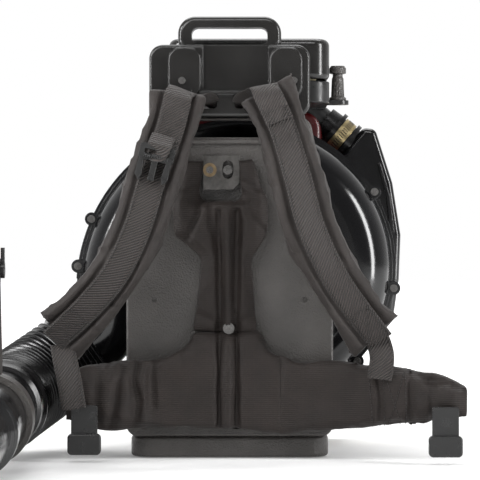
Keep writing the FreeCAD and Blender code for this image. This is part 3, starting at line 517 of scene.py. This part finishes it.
def stitch_row(name, places, normals, pitch, material, body, radius=0.00045):
    """A run of separate stitches lying on a surface, each a small rounded bead."""
    verts = []
    faces = []
    sides = 6
    travelled = 0.0
    due = 0.0
    for index in range(1, len(places)):
        step = (places[index] - places[index - 1]).length
        travelled += step
        if travelled < due or step < 1e-6:
            continue
        due += pitch
        heading = (places[index] - places[index - 1]).normalized()
        out = normals[index]
        side = heading.cross(out).normalized()
        half = pitch * 0.33
        rows = ((-half, 0.3, -0.3), (-half * 0.6, 1, 0.4), (half * 0.6, 1, 0.4), (half, 0.3, -0.3))
        base = len(verts)
        for shift, swell, lift in rows:
            middle = places[index] + heading * shift + out * (radius * lift)
            for corner in range(sides):
                angle = TAU * corner / sides
                verts.append(middle + (side * math.cos(angle) + out * math.sin(angle)) * radius * swell)
        for row in range(len(rows) - 1):
            for corner in range(sides):
                following = (corner + 1) % sides
                faces.append((base + row * sides + corner, base + row * sides + following,
                              base + (row + 1) * sides + following, base + (row + 1) * sides + corner))
        faces.append(tuple(base + corner for corner in range(sides - 1, -1, -1)))
        top = base + (len(rows) - 1) * sides
        faces.append(tuple(top + corner for corner in range(sides)))
    return add_piece(name, verts, faces, material, body)


# ---- padded cloth ----

VOXEL = 0.005
SIM_FRAMES = 20
CLOTH_PRESSURE = 4.0
ROOM_TO_SWELL = 0.003


def cushion(name, node):
    """A dense closed mesh from a soft CAD solid, drawn in a little so that it has room to swell."""
    mesh = nodes[node].data.copy()
    piece = bpy.data.objects.new(name, mesh)
    bpy.context.scene.collection.objects.link(piece)
    mesh.materials.clear()
    weld = bmesh.new()
    weld.from_mesh(mesh)
    bmesh.ops.remove_doubles(weld, verts=weld.verts, dist=1e-5)
    weld.to_mesh(mesh)
    weld.free()
    remesh = piece.modifiers.new("remesh", "REMESH")
    remesh.mode = "VOXEL"
    remesh.voxel_size = VOXEL
    use_modifiers(piece)
    mesh = piece.data
    normals = [vert.normal.copy() for vert in mesh.vertices]
    for vert, normal in zip(mesh.vertices, normals):
        vert.co -= normal * ROOM_TO_SWELL
    return piece


def inflate(piece, cap):
    """Blow the cloth up gently, then keep each point within cap of where it began."""
    start = [vert.co.copy() for vert in piece.data.vertices]
    cloth = piece.modifiers.new("cloth", "CLOTH")
    settings = cloth.settings
    settings.quality = 5
    settings.mass = 0.3
    settings.use_pressure = True
    settings.uniform_pressure_force = CLOTH_PRESSURE
    settings.tension_stiffness = 12
    settings.compression_stiffness = 12
    settings.bending_stiffness = 0.4
    settings.effector_weights.gravity = 0
    cloth.point_cache.frame_start = 1
    cloth.point_cache.frame_end = SIM_FRAMES
    for number in range(1, SIM_FRAMES + 1):
        bpy.context.scene.frame_set(number)
    use_modifiers(piece)
    bpy.context.scene.frame_set(1)
    for vert, place in zip(piece.data.vertices, start):
        move = vert.co - place
        if move.length > cap:
            vert.co = place + move * (cap / move.length)


def refine(piece):
    finer = piece.modifiers.new("finer", "SUBSURF")
    finer.levels = 1
    finer.render_levels = 1
    use_modifiers(piece)


def distance_to_line(place, line):
    """Distance in the frontal plane from a place to a run of straight pieces."""
    best = 1.0
    for first, second in zip(line, line[1:]):
        span = second - first
        share = max(0.0, min(1.0, (place - first).dot(span) / max(span.length_squared, 1e-12)))
        best = min(best, (place - first - span * share).length)
    return best


def press_seams(piece, seams):
    """Sink the wearer's side along sewn lines; each seam is a line in (x, z), a depth and a width."""
    normals = [vert.normal.copy() for vert in piece.data.vertices]
    for vert, normal in zip(piece.data.vertices, normals):
        if normal.y > 0.1:
            continue
        place = Vector((vert.co.x, vert.co.z))
        sink = 0.0
        for line, depth, width in seams:
            sink += depth * math.exp(-(distance_to_line(place, line) / width) ** 2)
        vert.co.y += sink


def pull_edge(piece, level, amount):
    """Draw the cloth beyond a level further up or down, so that it meets its neighbour."""
    heights = [vert.co.z for vert in piece.data.vertices]
    end = max(heights) if amount > 0 else min(heights)
    for vert in piece.data.vertices:
        share = (vert.co.z - level) / (end - level)
        if share > 0:
            vert.co.z += amount * share


def flat_line(*points):
    """A line in (x, z), given in millimetres."""
    return [Vector(point) / 1000 for point in points]


def drop_on(piece, line, lift):
    """Places on the wearer's side of a piece, above a line in (x, z), and the surface's normals there."""
    tree = BVHTree.FromPolygons([vert.co for vert in piece.data.vertices],
                                [tuple(face.vertices) for face in piece.data.polygons])
    places = []
    outs = []
    for first, second in zip(line, line[1:]):
        steps = max(2, int((second - first).length / 0.0008))
        for step in range(steps):
            flat = first.lerp(second, step / steps)
            hit, normal, face, distance = tree.ray_cast(Vector((flat.x, -1, flat.y)), Vector((0, 1, 0)))
            if hit:
                places.append(hit + normal * lift)
                outs.append(normal)
    return places, outs


def crumple(piece, folds, size, depth):
    """Small uneven swells over the cloth, the same on every run."""
    shift = Vector((3.1, 7.7, folds))
    normals = [vert.normal.copy() for vert in piece.data.vertices]
    for vert, normal in zip(piece.data.vertices, normals):
        wobble = noise.noise(vert.co / size + shift) + 0.5 * noise.noise(vert.co * 2.1 / size + shift)
        vert.co += normal * (wobble * depth)


def cover(piece, material, body, fill, *replaced):
    piece.data.materials.clear()
    piece.data.materials.append(material)
    piece.data.shade_smooth()
    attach(piece, body)
    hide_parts(*replaced)


# ---- shoulder straps ----

STRAP_CENTRE = Vector((0, 0.078, 0.280))
STRAP_RADIUS = 0.315
WEBBING_WIDTH = 0.031
WEBBING_THICK = 0.0018
STRAP_STEPS = 140
FINE_STEPS = 700
HIDDEN_STEPS = 4
PAD_STITCH = 0.0042
BOX_STITCH = 0.0038
# Centre lines of the shoulder straps in (x, z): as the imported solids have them, and as they are drawn here.
PACKED_LINES = {
    "left": ((-0.056, 0.424), (-0.065, 0.376), (-0.080, 0.322), (-0.100, 0.266), (-0.126, 0.216),
             (-0.158, 0.178), (-0.202, 0.140)),
    "right": ((0.038, 0.428), (0.061, 0.376), (0.076, 0.325), (0.091, 0.266), (0.119, 0.204),
              (0.160, 0.150)),
}
STRAP_LINES = {
    "left": ((-0.056, 0.424), (-0.067, 0.376), (-0.086, 0.322), (-0.103, 0.266), (-0.127, 0.216),
             (-0.158, 0.178), (-0.200, 0.138)),
    "right": ((0.038, 0.428), (0.061, 0.376), (0.076, 0.325), (0.092, 0.266), (0.122, 0.204),
              (0.171, 0.138)),
}


# Sewn channels along both edges of a pad: distance from the centre line, depth and width.
EDGE_SEAMS = ((0.0172, 0.0036, 0.0028), (0.0262, -0.0024, 0.0070), (0.0335, 0.0016, 0.0022))
WEBBING_BED = (0.0042, 0.0150)


def strap_outward(place):
    out = place - STRAP_CENTRE
    out.x = 0
    return out.normalized()


def strap_path(line, lift, count):
    flat = smooth_line([Vector((x, 0, z)) for x, z in line], count)
    path = []
    for place in flat:
        drop = place.z - STRAP_CENTRE.z
        reach = math.sqrt((STRAP_RADIUS + lift) ** 2 - drop ** 2)
        path.append(Vector((place.x, STRAP_CENTRE.y - reach, place.z)))
    return path


def bend_to(piece, old_path, new_path):
    """Carry each point of a pad from one centre line to another."""
    for vert in piece.data.vertices:
        nearest = min(range(len(old_path)), key=lambda index: (old_path[index] - vert.co).length_squared)
        vert.co += new_path[nearest] - old_path[nearest]


def offset_line(frames, share):
    return [place + side * share for place, heading, side, out in frames]


def sew_edges(name, frames, shares, materials):
    for number, share in enumerate(shares):
        places = offset_line(frames, share)
        outs = [out for place, heading, side, out in frames]
        stitch_row("%s_%d" % (name, number), places, outs, PAD_STITCH, materials["thread"], "pack")


def sew_box(name, frames, first, last, half_width, materials):
    """A sewn box with a cross in it, between two places along a strap."""
    part = frames[first:last]
    reach = len(part) - 1
    spacing = (part[-1][0] - part[0][0]).length / reach
    steps = 60
    routes = [[(share, 0), (share, reach)] for share in (-half_width, half_width)]
    routes += [[(-half_width, end), (half_width, end)] for end in (0, reach)]
    routes += [[(-half_width, 0), (half_width, reach)], [(half_width, 0), (-half_width, reach)]]
    for number, ((share_a, row_a), (share_b, row_b)) in enumerate(routes):
        places = []
        outs = []
        for step in range(steps + 1):
            blend = step / steps
            row = row_a + (row_b - row_a) * blend
            place, heading, side, out = part[round(row)]
            past = heading * (row - round(row)) * spacing
            places.append(place + past + side * (share_a + (share_b - share_a) * blend))
            outs.append(out)
        stitch_row("%s_%d" % (name, number), places, outs, BOX_STITCH, materials["thread"], "pack")


def shoulder_cushion(side_name, line, creases):
    pad = cushion("shoulder_cushion_" + side_name, "shoulder_pad_" + side_name)
    inflate(pad, 0.006)
    bend_to(pad, strap_path(PACKED_LINES[side_name], 0.0, STRAP_STEPS),
            strap_path(line, 0.0, STRAP_STEPS))
    refine(pad)
    frames = ribbon_frames(strap_path(line, 0.0, STRAP_STEPS), strap_outward)
    middle = [Vector((place.x, place.z)) for place, heading, side, out in frames][::4]
    seams = list(creases) + [(middle, *WEBBING_BED)]
    for share, depth, width in EDGE_SEAMS:
        for side in (-1, 1):
            edge = [Vector((place.x, place.z)) for place in offset_line(frames, side * share)][::4]
            seams.append((edge, depth, width))
    press_seams(pad, seams)
    crumple(pad, len(side_name), 0.045, 0.0011)
    return pad


def folded_top(side_name, line, slot_x, reach, materials):
    """The webbing's second layer: out of the yoke's slot, over the pad's end and down the strap."""
    top = strap_path(line, 0.0052, STRAP_STEPS)[HIDDEN_STEPS:reach]
    start = top[0]
    slot = Vector((slot_x, -0.124, 0.410))
    rise = Vector((start.x * 0.85 + slot_x * 0.15, start.y + 0.009, start.z + 0.007))
    crest = Vector((start.x * 0.6 + slot_x * 0.4, start.y + 0.026, start.z + 0.006))
    entry = Vector((slot_x, -0.158, 0.4115))
    path = smooth_line([slot, entry, crest, rise, start] + top[4::6], 150)
    centre = Vector((0, -0.178, 0.405))

    def outward(place):
        out = place - centre
        out.x = 0
        return out.normalized() if place.z > 0.40 else strap_outward(place)

    frames = ribbon_frames(path, outward)
    webbing_strip("folded_webbing_" + side_name, frames, WEBBING_WIDTH + 0.001, WEBBING_THICK,
                  materials["webbing"], "pack")


def shoulder_strap(side_name, creases, slot_x, reach, materials):
    line = STRAP_LINES[side_name]
    pad = shoulder_cushion(side_name, line, creases)
    cover(pad, materials["strap_fabric"], "pack", 0.55, "shoulder_pad_" + side_name)
    web_frames = ribbon_frames(strap_path(line, 0.0022, STRAP_STEPS)[HIDDEN_STEPS:], strap_outward)
    web = webbing_strip("webbing_strip_" + side_name, web_frames, WEBBING_WIDTH, WEBBING_THICK,
                        materials["webbing"], "pack")
    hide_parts("webbing_" + side_name)
    sewn = ribbon_frames(strap_path(line, 0.0033, FINE_STEPS), strap_outward)
    sew_edges("strap_stitches_" + side_name, sewn, (-0.0135, 0.0135), materials)
    sew_box("strap_end_box_" + side_name, sewn, 610, 690, 0.0115, materials)
    folded_top(side_name, line, slot_x, reach, materials)
    upper = ribbon_frames(strap_path(line, 0.0063, FINE_STEPS), strap_outward)
    sew_box("strap_top_box_" + side_name, upper, 70, 160, 0.012, materials)


def adjuster_strap(side_name, points, materials):
    """A plain webbing tail that hangs from a shoulder pad's lower end to the belt."""
    path = smooth_line([Vector(point) / 1000 for point in points], 60)
    frames = ribbon_frames(path, lambda place: Vector((0, -1, 0)))
    tail = webbing_strip("adjuster_strap_" + side_name, frames, 0.028, WEBBING_THICK, materials["webbing"],
                         "pack")
    sew_edges("adjuster_stitches_" + side_name,
              [(place + out * 0.0011, heading, side, out) for place, heading, side, out in frames],
              (-0.0115, 0.0115), materials)
    return tail


def ladder_bar(materials):
    """Webbing looped round the buckle's top bar, and the bar's row of small grips."""
    middle = Vector((-0.084, -0.2535, 0.336))
    turn = math.radians(14)
    up = Vector((math.sin(turn), 0, math.cos(turn)))
    sideways = Vector((math.cos(turn), 0, -math.sin(turn)))
    verts = []
    faces = []
    for index in range(13):
        centre = middle + sideways * (0.0022 * (index - 6)) + up * 0.0085
        base = len(verts)
        for rise in (-0.0022, 0.0022):
            for shift, out in ((-0.0007, 0.002), (-0.0005, -0.0008), (0.0005, -0.0008), (0.0007, 0.002)):
                verts.append(centre + up * rise + sideways * shift + Vector((0, out, 0)))
        faces += [(base, base + 1, base + 5, base + 4), (base + 1, base + 2, base + 6, base + 5),
                  (base + 2, base + 3, base + 7, base + 6), (base + 3, base + 2, base + 1, base),
                  (base + 4, base + 5, base + 6, base + 7), (base + 3, base, base + 4, base + 7)]
    add_piece("ladder_grips", verts, faces, materials["small_plastic"], "pack", smooth=False)
    bar = middle + up * 0.0145
    along = Vector((0.36, 0, 0.93))
    loop_path = [bar + along * 0.020 + Vector((0, 0.010, 0)), bar + along * 0.013 + Vector((0, 0.004, 0)),
                 bar + along * 0.007 + Vector((0, -0.001, 0)), bar + along * 0.002 + Vector((0, 0.002, 0)),
                 bar + Vector((0, 0.009, 0))]
    frames = ribbon_frames(smooth_line(loop_path, 40), lambda place: Vector((0, -1, 0.35)))
    webbing_strip("buckle_loop", frames, 0.027, WEBBING_THICK, materials["webbing"], "pack")


# ---- back pad and belt ----

def back_cushion(materials):
    pad = cushion("back_cushion", "back_pad")
    inflate(pad, 0.008)
    pull_edge(pad, 0.200, -0.0125)
    refine(pad)
    seams = [
        (flat_line((-12, 285), (-11, 140)), 0.0075, 0.0038),
        (flat_line((8, 285), (7, 140)), 0.0075, 0.0038),
        (flat_line((-2, 280), (-2, 140)), -0.0035, 0.004),
        (flat_line((-30, 306), (-36, 280), (-48, 255)), 0.0040, 0.004),
        (flat_line((14, 306), (22, 282), (40, 262)), 0.0040, 0.004),
        (flat_line((-22, 306), (-20, 270), (-13, 240)), 0.0035, 0.004),
        (flat_line((8, 306), (12, 275), (9, 245)), 0.0035, 0.004),
        (flat_line((-34, 318), (-50, 312), (-70, 314)), 0.0035, 0.004),
        (flat_line((15, 318), (32, 312), (50, 318)), 0.0035, 0.004),
        (flat_line((-42, 168), (-20, 160), (-12, 152)), 0.0030, 0.004),
        (flat_line((36, 168), (16, 160), (8, 152)), 0.0030, 0.004),
    ]
    press_seams(pad, seams)
    crumple(pad, 9.0, 0.05, 0.0016)
    cover(pad, materials["pad_fabric"], "pack", 0.5, "back_pad")


def belt_cushion(materials):
    pad = cushion("belt_cushion", "hip_belt")
    inflate(pad, 0.009)
    pull_edge(pad, 0.122, 0.0070)
    refine(pad)
    seams = [
        (flat_line((-12, 152), (-12, 26)), 0.0075, 0.0038),
        (flat_line((8, 152), (8, 26)), 0.0075, 0.0038),
        (flat_line((-2, 152), (-2, 26)), -0.0035, 0.004),
        (flat_line((-84, 124), (-90, 96), (-88, 60)), 0.0050, 0.005),
        (flat_line((-104, 120), (-110, 92), (-104, 66), (-108, 40)), 0.0060, 0.005),
        (flat_line((-122, 118), (-128, 80), (-136, 40)), 0.0050, 0.005),
        (flat_line((-96, 122), (-100, 84), (-98, 44)), -0.0030, 0.006),
        (flat_line((-118, 112), (-119, 74), (-122, 44)), -0.0030, 0.006),
        (flat_line((-150, 112), (-152, 70), (-148, 36)), 0.0040, 0.006),
        (flat_line((-36, 140), (-48, 128), (-70, 124)), 0.0025, 0.005),
        (flat_line((167, 116), (172, 70), (174, 28)), 0.0045, 0.004),
        (flat_line((203, 110), (206, 70), (208, 34)), 0.0045, 0.004),
        (flat_line((205, 106), (222, 92), (244, 90), (262, 86)), 0.0060, 0.005),
        (flat_line((226, 92), (230, 60), (234, 40)), 0.0045, 0.006),
        (flat_line((250, 88), (252, 60), (254, 46)), -0.0030, 0.008),
        (flat_line((150, 112), (172, 104), (200, 104)), 0.0035, 0.004),
    ]
    press_seams(pad, seams)
    crumple(pad, 4.0, 0.055, 0.0026)
    cover(pad, materials["pad_fabric"], "pack", 0.5, "hip_belt")
    cross = [flat_line((176, 100), (198, 32)), flat_line((198, 100), (178, 32)),
             flat_line((175, 102), (177, 30)), flat_line((199, 102), (201, 30)),
             flat_line((158, 108), (164, 30))]
    for number, line in enumerate(cross):
        places, outs = drop_on(pad, line, 0.0003)
        stitch_row("belt_stitches_%d" % number, places, outs, 0.0040, materials["thread"], "pack")


# ---- starter rope and clamp ----

def tube_along(places, radius, sides, side_way):
    """Verts and faces of a closed straight tube through the places; side_way is any way across it."""
    verts = []
    heading = (places[-1] - places[0]).normalized()
    up = side_way.cross(heading).normalized()
    across = heading.cross(up)
    for place in places:
        for side in range(sides):
            angle = TAU * side / sides
            verts.append(place + (across * math.cos(angle) + up * math.sin(angle)) * radius)
    faces = []
    for row in range(len(places) - 1):
        for side in range(sides):
            following = (side + 1) % sides
            faces.append((row * sides + side, row * sides + following, (row + 1) * sides + following,
                          (row + 1) * sides + side))
    faces.append(tuple(range(sides - 1, -1, -1)))
    last = (len(places) - 1) * sides
    faces.append(tuple(range(last, last + sides)))
    return verts, faces


def pull_rope(materials):
    """The recoil rope, which on the real blower stretches out of the housing as its handle is pulled: here
    one straight tube across the imported rope's length.
    """
    low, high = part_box("starter_rope")
    start = Vector((low[0], (low[1] + high[1]) / 2, (low[2] + high[2]) / 2))
    end = Vector((high[0], start.y, start.z))
    places = [start.lerp(end, step / 120) for step in range(121)]
    verts, faces = tube_along(places, 0.0019, 12, Vector((0, 0, 1)))
    rope = add_piece("pull_rope", verts, faces, materials["rope"], None)
    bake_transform(rope)
    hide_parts("starter_rope")


def clamp_slots(materials):
    """The worm clamp's ring of slanted slots, dark against the plated band."""
    centre = Vector((0.136, 0.045, 0.379))
    lean = math.radians(130)
    axis = Vector((math.sin(lean), 0, math.cos(lean)))
    across = Vector((math.cos(lean), 0, -math.sin(lean)))
    verts = []
    faces = []
    count = 44
    for index in range(count):
        turn = TAU * index / count
        radial = across * math.cos(turn) + Vector((0, 1, 0)) * math.sin(turn)
        tangent = -across * math.sin(turn) + Vector((0, 1, 0)) * math.cos(turn)
        base = len(verts)
        for height in (0.0224, 0.0232):
            for rise, shift in ((-0.0042, -0.0009), (-0.0042, 0.0001), (0.0032, 0.0009), (0.0032, -0.0001)):
                verts.append(centre + axis * rise + tangent * shift + radial * height)
        faces += [(base + 3, base + 2, base + 1, base), (base + 4, base + 5, base + 6, base + 7)]
        faces += [(base + side, base + (side + 1) % 4, base + 4 + (side + 1) % 4, base + 4 + side)
                  for side in range(4)]
    add_piece("clamp_slots", verts, faces, materials["small_plastic"], "pack", smooth=False)


# ---- corrugated hose ----

HOSE_RIBS = 20
RIB_DEPTH = 0.0062
HOSE_RADIUS = 0.054


def hose_ends():
    """Where the hose leaves the elbow, its heading there, and its bend radius."""
    turn = math.radians(55)
    bend = 0.050
    start = Vector((-0.142 - bend * (1 - math.cos(turn)), -0.040, 0.172 - bend * math.sin(turn)))
    return start, Vector((-math.sin(turn), 0, -math.cos(turn))), 0.120


def corrugated_hose(materials):
    start, heading, bend = hose_ends()
    forward = Vector((0, -1, 0))
    centre = start + forward * bend
    binormal = heading.cross(forward).normalized()
    rows = HOSE_RIBS * 12 + 1
    sides = 72
    verts = []
    for row in range(rows):
        share = row / (rows - 1)
        angle = share * math.pi / 2
        radial = -forward * math.cos(angle) + heading * math.sin(angle)
        middle = centre + radial * bend
        swell = 0.5 - 0.5 * math.cos(TAU * HOSE_RIBS * share)
        radius = HOSE_RADIUS - RIB_DEPTH * (1 - swell ** 0.55)
        for side in range(sides):
            turn = TAU * side / sides
            verts.append(middle + (radial * math.cos(turn) + binormal * math.sin(turn)) * radius)
    faces = []
    for row in range(rows - 1):
        for side in range(sides):
            following = (side + 1) % sides
            faces.append((row * sides + side, (row + 1) * sides + side, (row + 1) * sides + following,
                          row * sides + following))
    faces.append(tuple(range(sides)))
    faces.append(tuple(range(rows * sides - 1, (rows - 1) * sides - 1, -1)))
    hose = add_piece("corrugated_hose", verts, faces, materials["hose_rubber"], None)
    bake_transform(hose)
    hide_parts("hose")


LEFT_CREASES = [(flat_line((-126, 238), (-112, 226), (-104, 224)), 0.0022, 0.0022),
                (flat_line((-150, 196), (-142, 186), (-128, 176)), 0.0022, 0.0024),
                (flat_line((-170, 178), (-160, 168), (-150, 150)), 0.0020, 0.0024),
                (flat_line((-120, 186), (-112, 192), (-104, 190)), 0.0022, 0.0022)]
LEFT_TAIL = ((-190, -196, 134), (-187, -203, 118), (-182, -206, 95), (-176, -206, 60))
RIGHT_TAIL = ((163, -192, 150), (170, -198, 134), (173, -204, 118), (170, -207, 94))
RIGHT_CREASES = [(flat_line((124, 236), (132, 226), (140, 222)), 0.0018, 0.0022)]

materials = make_materials()
add_camera()
add_studio()
finish_nodes(materials)
shoulder_strap("left", LEFT_CREASES, -0.029, 28, materials)
shoulder_strap("right", RIGHT_CREASES, 0.020, 24, materials)
left_tail = adjuster_strap("left", LEFT_TAIL, materials)
adjuster_strap("right", RIGHT_TAIL, materials)
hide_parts("adjuster_tails")
ladder_bar(materials)
back_cushion(materials)
belt_cushion(materials)
pull_rope(materials)
clamp_slots(materials)
corrugated_hose(materials)
